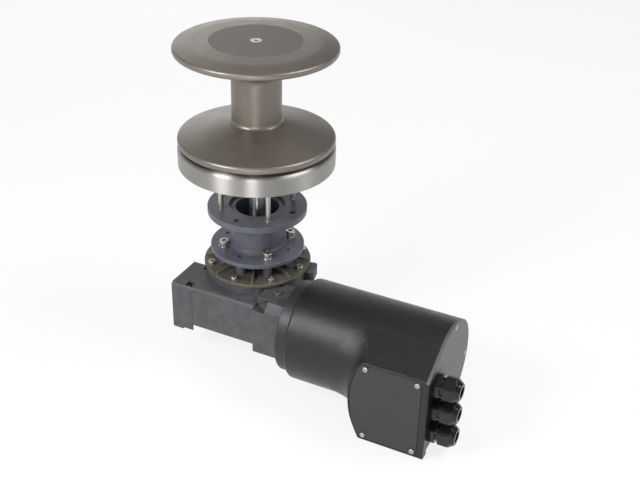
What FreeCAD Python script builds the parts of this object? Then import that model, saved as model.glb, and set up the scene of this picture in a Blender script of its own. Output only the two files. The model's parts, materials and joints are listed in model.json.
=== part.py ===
import FreeCAD, Part
import math
import os

# Vertical electric capstan winch, in millimetres.
# The origin is the centre of the base's underside, where it stands on the deck.
# +Z is up along the drum's axis, and +X runs along the motor, away from the worm's closed end.

# Room between pieces
run_gap = 0.05
fit_gap = 0.02
bolt_gap = 0.3
end_gap = 0.3
thrust_gap = 0.1
lid_gap = 0.6
nut_room = 0.6
shaft_room = 2.0

# Small rounded edges, and how far a cut runs past the piece it cuts
edge_break = 1.0
fine_edge = 0.6
cut_over = 1.0
head_round_share = 0.125
socket_floor_share = 0.45
sunk_socket_share = 0.7

# Drum
drum_top = 168.3
drum_rim_r = 106.2
drum_rim_t = 7.4
drum_rim_drop = 5.0
drum_crown_r = 84.0
drum_crown_drop = 1.3
drum_crown_round = 70.0
drum_rim_round = 3.3
drum_cap_r = 59.4
drum_cap_t = 5.0
barrel_r = 33.0
barrel_head = 130.0
barrel_foot = 60.0
barrel_head_round = 14.0
barrel_foot_round = 5.0
skirt_r = 104.4
skirt_rim_t = 8.6
skirt_wall = 7.0
skirt_gap = 4.0
skirt_rim_round = 3.9
skirt_lip_round = 2.6
skirt_lip_share = 0.3
skirt_hub_share = 0.9
drum_key_len = 36.0
drum_key_height = 80.0
drum_screw_r = 4.0
drum_screw_head_r = 8.0
drum_screw_head_t = 4.0
drum_screw_len = 26.0
drum_screw_key = 5.0

# Base on the deck
base_r = 105.0
base_h = 27.0
base_edge_round = 4.5
base_step_inset = 12.0
base_step_rise = 8.0
base_step_round = 1.5
tower_foot_round = 4.0
tower_r = 20.0
tower_gap = 4.0
bush_wall = 3.5
bush_flange_r = 18.0
bush_flange_t = 3.0
thrust_washer_t = 2.0
base_bush_len = 46.0

# Studs through the deck
deck_room = 64.3
stud_r = 4.0
stud_shank_r = 3.6
stud_thread_show = 0.5
stud_circle_r = 51.0
stud_count = 4
stud_start_deg = 45.0
stud_depth = 18.0
stud_tail = 1.5
washer_r = 8.0
washer_t = 1.6
nut_across = 13.0
nut_t = 4.0

# Spacer between deck and gearbox
spacer_top_r = 68.1
spacer_top_t = 9.7
spacer_h = 66.5
spacer_neck_r = 37.7
spacer_neck_wall = 7.7
spacer_recess_r = 38.0
spacer_recess_depth = 4.0
spacer_low_r = 64.8
spacer_low_t = 6.7
spacer_collar = 2.6
spacer_collar_h = 4.5
spacer_collar_round = 1.2
spacer_neck_round = 4.0
upper_spare_r = 4.2
lower_spare_r = 2.8
spare_circle_r = 54.0
post_r = 6.6
post_h = 19.0
post_circle_r = 48.0
post_count = 8
spacer_screw_head_r = 6.5
spacer_screw_head_h = 8.0
spacer_screw_key = 6.0
spacer_screw_grip = 11.0
spacer_washer_r = 7.4

# Gear cover
cover_r = 74.5
cover_t = 5.3
cover_screw_count = 8
cover_screw_r = 3.0
cover_screw_circle_r = 66.0
cover_screw_head_r = 5.0
cover_screw_head_h = 5.0
cover_screw_key = 5.0
cover_screw_len = 16.0
cover_spigot_t = 8.0
cover_hub_r = 32.0
cover_hub_h = 13.0
cover_hub_round = 3.0
cover_boss_wall = 6.0
rib_t = 3.0
rib_tip_h = 2.0
rib_end_inset = 2.5
rib_hub_sink = 2.0
seal_r = 18.0
seal_t = 8.0
seal_wall = 2.0
seal_groove = 3.0
seal_lip_drop = 1.5

# Main shaft and its bearings
shaft_r = 11.0
shaft_bearing_r = 22.0
shaft_bearing_t = 12.0
key_w = 6.0
key_shaft_depth = 3.5
key_hub_depth = 2.8

# Worm and wheel
gear_module = 2.5
wheel_teeth = 40
worm_pitch_r = 12.0
tooth_slope_deg = 20.0
tooth_backlash = 0.6
tooth_tip = 1.0
tooth_root = 1.25
wheel_t = 22.0
wheel_rim = 9.0
wheel_web_t = 12.0
wheel_hub_r = 17.0
wheel_key_len = 24.0
worm_turns = 7
thread_sink = 0.6
worm_shaft_r = 8.5
worm_bearing_r = 20.0
worm_bearing_t = 12.0
worm_seal_t = 6.0

# Gear housing
worm_drop = 47.0
housing_r = 72.0
wheel_room = 3.0
worm_room = 3.0
housing_floor_t = 4.0
bearing_lip = 2.5
bar_half_w = 31.0
bar_half_h = 32.4
bar_round = 5.0
worm_span = 58.0
end_face_len = 17.0
end_cap_t = 14.0
end_cap_recess = 4.0
end_cap_hang = 2.5
end_half_w = 31.6
end_drop = 41.0
end_notch_len = 10.0
end_screw_r = 3.0
end_screw_inset = 8.5
end_screw_sink = 1.0
end_screw_tail = 2.0
end_nut_across = 10.0
end_nut_t = 5.0
end_screw_head_r = 5.0
end_screw_head_h = 6.0
end_screw_key = 5.0
mouth_len = 49.0
mouth_plate_t = 31.0
mouth_half_w = 33.0
mouth_rise = 39.8
mouth_drop = 44.5
mouth_round = 8.0
mouth_chamfer = 10.0
mouth_pocket_len = 12.0
motor_stud_r = 3.0
motor_stud_y = 24.0
motor_stud_z = 33.0
motor_stud_grip = 12.0
motor_stud_tail = 2.5
motor_nut_across = 10.0
motor_nut_t = 5.0
lug_reach = 84.0
lug_half_w = 14.0
lug_angle_deg = 13.0
lug_h = 15.0
lug_round = 5.0
plug_inset = 28.0
plug_head_r = 5.0
plug_head_t = 4.5
plug_thread_r = 4.0
plug_thread_len = 9.0
plug_key = 4.0

# Motor
motor_flange_r = 62.5
motor_flange_t = 15.9
motor_shaft_r = 7.5
motor_bearing_r = 17.5
motor_bearing_t = 11.0
motor_shoulder_t = 2.0
bell_t = 5.0
bell_boss_wall = 6.0
can_gap = 8.3
can_wall = 4.0
can_len = 166.0
coupling_r = 14.0
coupling_len = 15.0
coupling_gap = 3.2
coupling_sink = 1.5
coupling_room = 3.0
core_len = 88.0
core_slot_count = 16
core_slot_depth = 9.0
core_slot_w = 3.0
air_gap = 1.5
magnet_count = 4
magnet_arc_deg = 72.0
magnet_t = 10.0
magnet_start_deg = 45.0
winding_len = 15.0
winding_inset = 6.5
winding_wall_gap = 4.0
winding_round = 6.0
commutator_r = 18.0
commutator_len = 14.0
commutator_gap = 2.5
brush_w = 8.0
brush_len = 15.0
brush_box_len = 8.0
brush_ring_t = 12.0
brush_ring_wall = 14.0

# Motor cover with its terminal pocket
shell_r = 69.3
shell_len = 205.0
shell_wall = 3.0
shell_round = 4.0
shell_ledge = 8.0
shell_ledge_len = 8.0
pocket_stand = 10.7
pocket_top_deg = 62.0
pocket_floor_step = 2.0
pocket_lip_t = 12.0
pocket_lip_rise = 7.5
pocket_shoulder = 16.0
pocket_edge = 1.5
pocket_wall = 4.5
pocket_flare = 38.0
pocket_flare_depth = 15.0
blend_sink = 0.25
blend_overlap_deg = 7.0
pocket_sections = 12
flare_steps = 8
pocket_arc_r = 124.0
pocket_bow_end = 17.4
pocket_arc_z = -23.0
lid_t = 4.0
lid_rim = 2.8
lid_end_rim = 9.6
lid_ledge = 6.0
lid_ledge_t = 4.0
lid_corner = 9.0
lid_screw_r = 2.0
lid_screw_head_r = 3.6
lid_screw_head_t = 2.4
lid_screw_len = 10.0
lid_screw_inset = 5.4
lid_screw_slot = 0.8
lid_screw_head_round = 1.9
lid_boss_r = 5.0
gasket_t = 1.0
end_plate_t = 4.0
end_screw_count = 4
end_screw_start_deg = 10.0
plate_screw_r = 2.0
plate_screw_head_r = 3.4
plate_screw_head_t = 1.8
plate_screw_len = 9.0
gland_wall_t = 6.0
gland_wall_w = 48.0
board_len = 42.0
board_h = 60.0
board_t = 6.0
board_gap = 1.6
terminal_r = 3.0
terminal_h = 12.0
terminal_nut_across = 6.6
terminal_nut_t = 4.0
terminal_pitch = 18.0
terminal_count = 3

# Cable glands
gland_count = 3
gland_pitch = 35.4
gland_inset = 27.0
gland_roof_room = 14.35
gland_floor_room = 3.1
gland_thread_r = 12.5
gland_across = 30.0
gland_collar_t = 8.5
gland_neck_len = 4.0
gland_neck_r = 12.0
gland_nut_len = 13.0
gland_dome_len = 8.0
gland_turned_r = 16.8
gland_dome_step = 3.0
gland_dome_share = 0.45
gland_dome_round = 9.0
gland_mouth_r = 11.0
gland_bore_r = 9.0
gland_cable_r = 6.5
gland_cable_gap = 1.0
gland_seal_len = 14.0
gland_locknut_t = 5.0
gland_tail = 2.0
gland_locknut_across = 29.0

# Heights and places that follow from the sizes above
skirt_bottom = base_h + skirt_gap
skirt_top = skirt_bottom + skirt_rim_t
cap_seat = drum_top - drum_cap_t
shaft_top = cap_seat - end_gap
tower_top = barrel_foot - bush_flange_t - thrust_washer_t
bush_r = shaft_r + bush_wall
thrust_face = tower_top + bush_flange_t + thrust_washer_t
drum_key_low = thrust_face + drum_key_height - drum_key_len
spacer_top = -deck_room
spacer_low_face = spacer_top - spacer_h
spacer_low_top = spacer_low_face + spacer_low_t
cover_top = spacer_low_face - post_h
cover_bottom = cover_top - cover_t
worm_z = cover_top - worm_drop
wheel_pitch_r = gear_module * wheel_teeth / 2
worm_y = -(wheel_pitch_r + worm_pitch_r)
wheel_tip_r = wheel_pitch_r + gear_module * tooth_tip
wheel_root_r = wheel_pitch_r - gear_module * tooth_root
worm_tip_r = worm_pitch_r + gear_module * tooth_tip
worm_root_r = worm_pitch_r - gear_module * tooth_root
cavity_r = wheel_tip_r + wheel_room
tunnel_r = worm_tip_r + worm_room
lead = math.pi * gear_module
housing_bottom = worm_z - bar_half_h
lower_bearing_low = housing_bottom + housing_floor_t
lower_bearing_top = lower_bearing_low + shaft_bearing_t
cavity_floor = lower_bearing_top - bearing_lip
spigot_bottom = cover_bottom - cover_spigot_t
upper_bearing_top = spigot_bottom
upper_bearing_low = upper_bearing_top - shaft_bearing_t
cover_boss_r = shaft_bearing_r + cover_boss_wall
shaft_bottom = lower_bearing_low + end_gap
end_cap_face = -worm_span - worm_bearing_t
end_cap_start = end_cap_face - end_cap_t
bar_start = end_cap_face + end_face_len
worm_seal_start = worm_span + worm_bearing_t + end_gap
coupling_start = worm_seal_start + worm_seal_t + coupling_gap
mouth_end = coupling_start + coupling_len - coupling_sink
mouth_start = mouth_end - mouth_len
mouth_plate_start = mouth_end - mouth_plate_t
plug_x = mouth_end - plug_inset
flange_end = mouth_end + motor_flange_t
can_end = flange_end + can_len
shell_end = flange_end + shell_len
shell_bore_r = shell_r - shell_wall
pocket_reach = shell_r + pocket_stand
pocket_lean = math.radians(pocket_top_deg)
roof_r = shell_r - pocket_wall - blend_sink
gland_roof = (roof_r - (pocket_reach - gland_inset) * math.cos(pocket_lean)) / math.sin(pocket_lean)
gland_half = gland_locknut_across / 2
gland_rise = gland_roof - gland_half - gland_roof_room
gland_depth = gland_pitch * (gland_count - 1) - gland_rise
gland_floor = gland_depth + gland_half + gland_floor_room + pocket_wall
pocket_floor = max(gland_floor, shell_r + pocket_floor_step)
pocket_drop = pocket_floor + pocket_lip_rise
pocket_arc_x = shell_end + pocket_bow_end
pocket_front = worm_y - pocket_reach
pocket_bottom = worm_z - pocket_drop
pocket_axis_z = worm_z + pocket_arc_z
can_r = shell_bore_r - can_gap
can_bore_r = can_r - can_wall
magnet_r = can_bore_r - magnet_t
core_r = magnet_r - air_gap
winding_r = core_r - winding_inset
rear_bearing_x = can_end - bell_t - motor_bearing_t
commutator_start = rear_bearing_x - commutator_gap - commutator_len
core_end = commutator_start - commutator_gap - winding_len
core_start = core_end - core_len
end_plate_start = shell_end - end_plate_t
end_screw_circle_r = shell_bore_r - shell_ledge / 2
gland_wall_start = shell_end - gland_wall_t
gland_wall_y = pocket_front + gland_wall_w

UP = FreeCAD.Vector(0, 0, 1)
ACROSS = FreeCAD.Vector(0, 1, 0)
ALONG = FreeCAD.Vector(1, 0, 0)
ORIGIN = FreeCAD.Vector(0, 0, 0)


def point(x, y, z):
    return FreeCAD.Vector(x, y, z)


def rounded_wire(corners):
    """Closed wire in the XZ plane through (x, z) corners. A third value rounds its corner."""
    places = [point(corner[0], 0, corner[1]) for corner in corners]
    runs = []
    for index, corner in enumerate(corners):
        place = places[index]
        back = places[index - 1] - place
        ahead = places[(index + 1) % len(places)] - place
        radius = corner[2] if len(corner) > 2 else 0
        if radius == 0:
            runs.append((place, None, place))
            continue
        half = back.getAngle(ahead) / 2
        reach = min(radius / math.tan(half), 0.49 * back.Length, 0.49 * ahead.Length)
        radius = reach * math.tan(half)
        back.normalize()
        ahead.normalize()
        middle = back + ahead
        middle.normalize()
        bend = place + middle * (radius / math.sin(half) - radius)
        runs.append((place + back * reach, bend, place + ahead * reach))
    edges = []
    for index, (first, bend, last) in enumerate(runs):
        if bend is not None:
            edges.append(Part.Arc(first, bend, last).toShape())
        start = runs[(index + 1) % len(runs)][0]
        if (start - last).Length > 1e-6:
            edges.append(Part.LineSegment(last, start).toShape())
    return Part.Wire(edges)


def turned(corners):
    """Solid of revolution about Z from (radius, height) corners."""
    return Part.Face(rounded_wire(corners)).revolve(ORIGIN, UP, 360)


def ring(outer_r, inner_r, low, high, edge=0.0):
    """Plain ring about Z with optional rounded outer edges."""
    corners = [(inner_r, low), (outer_r, low, edge), (outer_r, high, edge), (inner_r, high)]
    return turned(corners)


def rod(radius, low, high):
    return Part.makeCylinder(radius, high - low, point(0, 0, low))


def box(low, high):
    return Part.makeBox(high[0] - low[0], high[1] - low[1], high[2] - low[2], point(*low))


def hexagon(across, low, high):
    """Upright hexagonal bar, measured across its flats."""
    radius = across / math.sqrt(3)
    turns = [math.radians(60 * side) for side in range(7)]
    corners = [point(radius * math.cos(turn), radius * math.sin(turn), low) for turn in turns]
    return Part.Face(Part.makePolygon(corners)).extrude(UP * (high - low))


def around(shape, count, start=0.0):
    """Copies of a shape, evenly spaced about Z."""
    copies = []
    for index in range(count):
        copy = shape.copy()
        copy.rotate(ORIGIN, UP, start + 360.0 * index / count)
        copies.append(copy)
    return copies


def moved(shape, x, y, z):
    copy = shape.copy()
    copy.translate(point(x, y, z))
    return copy


def lying(shape):
    """Lay a piece made about Z along the motor's axis, so that its height runs along +X."""
    copy = shape.copy()
    copy.rotate(ORIGIN, ACROSS, 90)
    copy.translate(point(0, worm_y, worm_z))
    return copy


def facing_out(shape, x, y, z):
    """Lay a piece made about Z along +X with its zero height at the given place."""
    copy = shape.copy()
    copy.rotate(ORIGIN, ACROSS, 90)
    copy.translate(point(x, y, z))
    return copy


def long_block(x_low, x_high, y_half, z_low, z_high, edge):
    """Bar along X, centred on the worm's axis, with its long edges rounded."""
    high = [(-z_high, -y_half, edge), (-z_high, y_half, edge)]
    low = [(-z_low, y_half, edge), (-z_low, -y_half, edge)]
    wire = rounded_wire(high + low)
    wire.rotate(ORIGIN, ALONG, -90)
    return lying(moved(Part.Face(wire).extrude(UP * (x_high - x_low)), 0, 0, x_low))


def cap_screw(thread_r, head_r, head_h, length, key):
    """Socket-head screw pointing down, its head seated at zero height."""
    head = turned([(0, 0), (head_r, 0), (head_r, head_h, head_h * head_round_share), (0, head_h)])
    socket = hexagon(key, head_h * socket_floor_share, head_h + cut_over)
    return head.fuse(rod(thread_r, -length, 0)).cut(socket)


def sunk_screw(thread_r, head_r, head_t, length, key):
    """Countersunk screw pointing down, its flat top at zero height."""
    corners = [(0, 0), (head_r, 0), (thread_r, -head_t), (thread_r, -length), (0, -length)]
    return turned(corners).cut(hexagon(key, -head_t * sunk_socket_share, cut_over))


def nut(across, thread_r, low, high):
    return hexagon(across, low, high).cut(rod(thread_r + fit_gap, low - cut_over, high + cut_over))


def ball_bearing(outer_r, bore_r, width):
    """Shielded ball bearing: its two rings stand proud of the shields between them."""
    ring_t = (outer_r - bore_r) / 4
    sink = width / 12
    return turned([
        (bore_r, 0),
        (bore_r + ring_t, 0),
        (bore_r + ring_t, sink),
        (outer_r - ring_t, sink),
        (outer_r - ring_t, 0),
        (outer_r, 0, sink),
        (outer_r, width, sink),
        (outer_r - ring_t, width),
        (outer_r - ring_t, width - sink),
        (bore_r + ring_t, width - sink),
        (bore_r + ring_t, width),
        (bore_r, width),
    ])


def key_bar(low, high, room):
    """Square key on the shaft's +X side, with room all round for the slot that holds it."""
    half = key_w / 2 + room
    inner = shaft_r - key_shaft_depth - room
    outer = shaft_r + key_hub_depth + room
    return box((inner, -half, low - room), (outer, half, high + room))


def save(name, *solids):
    shape = solids[0] if len(solids) == 1 else Part.makeCompound(list(solids))
    shape.exportStep(os.path.join("parts", name + ".step"))


# Drum: two flanges on a slim barrel, hollow below, carried by the shaft's key and the thrust washer
def build_drum():
    hollow_r = tower_r + tower_gap
    lip_r = skirt_r - skirt_wall
    drum = turned([
        (shaft_r + fit_gap, cap_seat),
        (drum_cap_r + fit_gap, cap_seat),
        (drum_cap_r + fit_gap, drum_top, fine_edge),
        (drum_crown_r, drum_top - drum_crown_drop, drum_crown_round),
        (drum_rim_r, drum_top - drum_rim_drop, drum_rim_round),
        (drum_rim_r, drum_top - drum_rim_drop - drum_rim_t, drum_rim_round),
        (barrel_r, barrel_head, barrel_head_round),
        (barrel_r, barrel_foot, barrel_foot_round),
        (skirt_r, skirt_top, skirt_rim_round),
        (skirt_r, skirt_bottom, skirt_lip_round),
        (lip_r, skirt_bottom),
        (lip_r, skirt_top - skirt_wall * skirt_lip_share),
        (hollow_r, barrel_foot - skirt_wall * skirt_hub_share),
        (hollow_r, thrust_face + thrust_gap),
        (shaft_r + fit_gap, thrust_face + thrust_gap),
    ])
    slot = key_bar(drum_key_low, drum_key_low + drum_key_len, fit_gap)
    save("drum", drum.cut(slot))
    save("drum_key", key_bar(drum_key_low, drum_key_low + drum_key_len, 0))
    sink = drum_cap_t - drum_screw_head_t
    cap = turned([
        (drum_screw_r + bolt_gap, cap_seat),
        (drum_cap_r, cap_seat),
        (drum_cap_r, drum_top, fine_edge),
        (drum_screw_head_r + bolt_gap, drum_top),
        (drum_screw_r + bolt_gap, cap_seat + sink),
    ])
    save("drum_cap", cap)
    head = drum_screw_head_r, drum_screw_head_t
    screw = sunk_screw(drum_screw_r, *head, drum_screw_len, drum_screw_key)
    save("drum_screw", moved(screw, 0, 0, drum_top))


# Shaft: one long bar from the drum's cap to the foot of the gearbox
def build_main_shaft():
    shaft = turned([
        (0, shaft_bottom),
        (shaft_r, shaft_bottom, edge_break),
        (shaft_r, shaft_top, edge_break),
        (0, shaft_top),
    ])
    thread_low = drum_top - drum_screw_len - end_gap
    shaft = shaft.cut(rod(drum_screw_r + fit_gap, thread_low, shaft_top + cut_over))
    shaft = shaft.cut(key_bar(drum_key_low, drum_key_low + drum_key_len, fit_gap))
    half = wheel_key_len / 2
    shaft = shaft.cut(key_bar(worm_z - half, worm_z + half, fit_gap))
    save("main_shaft", shaft)
    save("wheel_key", key_bar(worm_z - half, worm_z + half, 0))


# Base ring with the tower that carries the drum's bush and thrust washer
def build_base():
    step_r = base_r - base_step_inset
    seat_r = bush_r + fit_gap
    base = turned([
        (seat_r, 0),
        (base_r, 0, edge_break),
        (base_r, base_h, base_edge_round),
        (step_r, base_h),
        (step_r, base_h + base_step_rise, base_step_round),
        (tower_r, base_h + base_step_rise, tower_foot_round),
        (tower_r, tower_top),
        (seat_r, tower_top),
    ])
    tapped = moved(rod(stud_r + fit_gap, -cut_over, stud_depth), stud_circle_r, 0, 0)
    for hole in around(tapped, stud_count, stud_start_deg):
        base = base.cut(hole)
    save("base_ring", base)
    bush = turned([
        (shaft_r + run_gap, tower_top - base_bush_len),
        (bush_r, tower_top - base_bush_len),
        (bush_r, tower_top),
        (bush_flange_r, tower_top),
        (bush_flange_r, tower_top + bush_flange_t, fine_edge),
        (shaft_r + run_gap, tower_top + bush_flange_t),
    ])
    save("base_bush", bush)
    washer = ring(bush_flange_r, shaft_r + run_gap, tower_top + bush_flange_t, thrust_face, fine_edge)
    save("thrust_washer", washer)


# Four studs hang the spacer and the gearbox below the deck
def build_studs():
    under = spacer_top - spacer_top_t
    washer_low = under - washer_t
    nut_low = washer_low - nut_t
    stud = turned([
        (0, nut_low - stud_tail),
        (stud_r, nut_low - stud_tail, fine_edge),
        (stud_r, spacer_top + stud_thread_show),
        (stud_shank_r, spacer_top + stud_thread_show),
        (stud_shank_r, -stud_thread_show),
        (stud_r, -stud_thread_show),
        (stud_r, stud_depth - end_gap, fine_edge),
        (0, stud_depth - end_gap),
    ])
    washer = ring(washer_r, stud_r + bolt_gap, washer_low, under)
    stud_nut = nut(nut_across, stud_r, nut_low, washer_low)
    save("deck_studs", *around(moved(stud, stud_circle_r, 0, 0), stud_count, stud_start_deg))
    save("stud_washers", *around(moved(washer, stud_circle_r, 0, 0), stud_count, stud_start_deg))
    save("stud_nuts", *around(moved(stud_nut, stud_circle_r, 0, 0), stud_count, stud_start_deg))


# Spacer: a spool with a ring of tubular posts that stand on the gear cover
def build_spacer():
    bore_r = spacer_neck_r - spacer_neck_wall
    flange_low = spacer_top - spacer_top_t
    spacer = turned([
        (bore_r, spacer_low_face),
        (spacer_low_r, spacer_low_face, edge_break),
        (spacer_low_r, spacer_low_top, edge_break),
        (spacer_neck_r + spacer_collar, spacer_low_top),
        (spacer_neck_r + spacer_collar, spacer_low_top + spacer_collar_h, spacer_collar_round),
        (spacer_neck_r, spacer_low_top + spacer_collar_h, spacer_collar_round),
        (spacer_neck_r, flange_low, spacer_neck_round),
        (spacer_top_r, flange_low, edge_break),
        (spacer_top_r, spacer_top, edge_break),
        (spacer_recess_r, spacer_top, fine_edge),
        (spacer_recess_r, spacer_top - spacer_recess_depth),
        (bore_r, spacer_top - spacer_recess_depth),
    ])
    post = moved(rod(post_r, cover_top, spacer_low_top - cut_over), post_circle_r, 0, 0)
    for copy in around(post, post_count):
        spacer = spacer.fuse(copy)
    upper = flange_low - cut_over, spacer_top + cut_over
    lower = cover_top - cut_over, spacer_low_top + cut_over
    stud_hole = moved(rod(stud_r + bolt_gap, *upper), stud_circle_r, 0, 0)
    upper_spare = moved(rod(upper_spare_r, *upper), spare_circle_r, 0, 0)
    screw_hole = moved(rod(stud_r + bolt_gap, *lower), post_circle_r, 0, 0)
    lower_spare = moved(rod(lower_spare_r, *lower), post_circle_r, 0, 0)
    holes = around(stud_hole, stud_count, stud_start_deg) + around(screw_hole, stud_count, stud_start_deg)
    holes += around(upper_spare, stud_count) + around(lower_spare, stud_count)
    for hole in holes:
        spacer = spacer.cut(hole)
    save("spacer", spacer.removeSplitter())
    seat = spacer_low_top + washer_t
    length = seat - cover_top + spacer_screw_grip
    screw = cap_screw(stud_r, spacer_screw_head_r, spacer_screw_head_h, length, spacer_screw_key)
    washer = ring(spacer_washer_r, stud_r + bolt_gap, spacer_low_top, seat)
    save("spacer_screws", *around(moved(screw, post_circle_r, 0, seat), stud_count, stud_start_deg))
    save("spacer_washers", *around(moved(washer, post_circle_r, 0, 0), stud_count, stud_start_deg))


# Gear cover: a ribbed disc that carries the posts outside and the upper bearing inside
def build_gear_cover():
    hub_top = cover_top + cover_hub_h
    cover = turned([
        (shaft_r + shaft_room, upper_bearing_top),
        (shaft_bearing_r + fit_gap, upper_bearing_top),
        (shaft_bearing_r + fit_gap, upper_bearing_low),
        (cover_boss_r, upper_bearing_low, edge_break),
        (cover_boss_r, spigot_bottom),
        (cavity_r - fit_gap, spigot_bottom),
        (cavity_r - fit_gap, cover_bottom),
        (cover_r, cover_bottom, edge_break),
        (cover_r, cover_top, edge_break),
        (cover_hub_r, cover_top, cover_hub_round),
        (cover_hub_r, hub_top, edge_break),
        (seal_r + fit_gap, hub_top),
        (seal_r + fit_gap, hub_top - seal_t),
        (shaft_r + shaft_room, hub_top - seal_t),
    ])
    outline = [
        (cover_hub_r - rib_hub_sink, cover_top - cut_over),
        (cover_r - rib_end_inset, cover_top - cut_over),
        (cover_r - rib_end_inset, cover_top + rib_tip_h),
        (cover_hub_r - rib_hub_sink, hub_top - rib_hub_sink),
    ]
    rib = Part.Face(rounded_wire(outline)).extrude(ACROSS * rib_t)
    for copy in around(moved(rib, 0, -rib_t / 2, 0), cover_screw_count, 180 / cover_screw_count):
        cover = cover.fuse(copy)
    tapped = rod(stud_r + fit_gap, cover_top - spacer_screw_grip - end_gap, cover_top + cut_over)
    plain = rod(cover_screw_r + bolt_gap, cover_bottom - cut_over, cover_top + cut_over)
    holes = around(moved(tapped, post_circle_r, 0, 0), stud_count, stud_start_deg)
    holes += around(moved(plain, cover_screw_circle_r, 0, 0), cover_screw_count)
    for hole in holes:
        cover = cover.cut(hole)
    save("gear_cover", cover.removeSplitter())
    head = cover_screw_head_r, cover_screw_head_h
    screw = cap_screw(cover_screw_r, *head, cover_screw_len, cover_screw_key)
    save("cover_screws", *around(moved(screw, cover_screw_circle_r, 0, cover_top), cover_screw_count))
    seal = turned([
        (shaft_r + run_gap, hub_top - seal_t),
        (seal_r, hub_top - seal_t),
        (seal_r, hub_top, fine_edge),
        (seal_r - seal_wall, hub_top),
        (seal_r - seal_wall, hub_top - seal_groove),
        (shaft_r + shaft_room, hub_top - seal_groove),
        (shaft_r + run_gap, hub_top - seal_lip_drop),
    ])
    save("shaft_seal", seal)
    bearing = ball_bearing(shaft_bearing_r, shaft_r + run_gap, shaft_bearing_t)
    save("upper_bearing", moved(bearing, 0, 0, upper_bearing_low))
    save("lower_bearing", moved(bearing, 0, 0, lower_bearing_low))


def corner_places(side, low, high):
    """Four corners of a bolting face, as (y, z) measured from the worm's axis."""
    return [(y, z) for y in (-side, side) for z in (low, high)]


def end_screw_places():
    side = end_half_w - end_screw_inset
    return corner_places(side, end_screw_inset - end_drop, bar_half_h - end_screw_inset)


def motor_stud_places():
    return corner_places(motor_stud_y, -motor_stud_z, motor_stud_z)


def nut_pocket(x_low, x_high, y, z, across, open_y, open_z):
    """Room for a nut at (y, z) from the worm's axis, reaching out at least as far as the given distances."""
    half_w = across / 2 + nut_room
    half_h = across / math.sqrt(3) + nut_room
    sides = (abs(y) - half_w, max(abs(y) + half_w, open_y))
    heights = (abs(z) - half_h, max(abs(z) + half_h, open_z))
    y_low, y_high = sorted(worm_y + math.copysign(side, y) for side in sides)
    z_low, z_high = sorted(worm_z + math.copysign(height, z) for height in heights)
    return box((x_low, y_low, z_low), (x_high, y_high, z_high))


def mouth_slope():
    """Prism that bevels the front upper edge of the motor's bolting face."""
    front = worm_y - mouth_half_w
    top = worm_z + mouth_rise
    corners = [
        point(mouth_plate_start, front - cut_over, top - mouth_chamfer - cut_over),
        point(mouth_plate_start, front + mouth_chamfer + cut_over, top + cut_over),
        point(mouth_plate_start, front - cut_over, top + cut_over),
    ]
    face = Part.Face(Part.makePolygon(corners + corners[:1]))
    return face.extrude(ALONG * (mouth_plate_t + cut_over))


# Gear housing: the wheel's drum, the worm's bar, and a bolting face at each end of the worm
def build_housing():
    housing = rod(housing_r, housing_bottom, cover_bottom)
    bar_ends = bar_start - cut_over, mouth_start + cut_over
    bar = long_block(*bar_ends, bar_half_w, -bar_half_h, bar_half_h, bar_round)
    end_face = long_block(end_cap_face, bar_start, end_half_w, -end_drop, bar_half_h, bar_round)
    mouth = long_block(mouth_start, mouth_end, mouth_half_w, -mouth_drop, mouth_rise, mouth_round)
    lug = box((0, -lug_half_w, cover_bottom - lug_h), (lug_reach, lug_half_w, cover_bottom))
    lug = lug.makeFillet(lug_round, [edge for edge in lug.Edges if edge.BoundBox.ZLength > lug_h / 2])
    lug.rotate(ORIGIN, UP, lug_angle_deg)
    cap_ends = end_cap_start - cut_over, end_cap_face
    cap_heights = -end_drop - end_cap_hang - end_gap, bar_half_h + end_gap
    housing = housing.cut(long_block(*cap_ends, end_half_w + end_gap, *cap_heights, bar_round))
    for piece in (bar, end_face, mouth, lug):
        housing = housing.fuse(piece)
    plug_top = worm_z + mouth_rise
    plug_hole = rod(plug_thread_r + fit_gap, plug_top - plug_thread_len - end_gap, plug_top + cut_over)
    cuts = [
        mouth_slope(),
        rod(cavity_r, cavity_floor, cover_bottom + cut_over),
        rod(shaft_bearing_r + fit_gap, lower_bearing_low, cavity_floor + cut_over),
        lying(rod(tunnel_r, -worm_span - cut_over, worm_span + cut_over)),
        lying(rod(worm_bearing_r + fit_gap, end_cap_face - cut_over, -worm_span)),
        lying(rod(worm_bearing_r + fit_gap, worm_span, mouth_end + cut_over)),
        moved(plug_hole, plug_x, worm_y, 0),
    ]
    tapped = rod(cover_screw_r + fit_gap, cover_top - cover_screw_len - end_gap, cover_bottom + cut_over)
    cuts += around(moved(tapped, cover_screw_circle_r, 0, 0), cover_screw_count)
    stud_hole = rod(motor_stud_r + bolt_gap, -cut_over, mouth_plate_t + cut_over)
    for y, z in motor_stud_places():
        start = mouth_start if y < 0 and z > 0 else mouth_plate_start - mouth_pocket_len
        open_y = mouth_half_w + cut_over if z > 0 else 0
        ends = start, mouth_plate_start
        cuts.append(nut_pocket(*ends, y, z, motor_nut_across, open_y, mouth_drop + cut_over))
        cuts.append(facing_out(stud_hole, mouth_plate_start, worm_y + y, worm_z + z))
    screw_hole = rod(end_screw_r + bolt_gap, -cut_over, end_face_len - cut_over)
    for y, z in end_screw_places():
        ends = bar_start - end_notch_len, bar_start
        cuts.append(nut_pocket(*ends, y, z, end_nut_across, 0, end_drop + cut_over))
        cuts.append(facing_out(screw_hole, end_cap_face, worm_y + y, worm_z + z))
    for cut in cuts:
        housing = housing.cut(cut)
    save("gear_housing", housing.removeSplitter())


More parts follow.
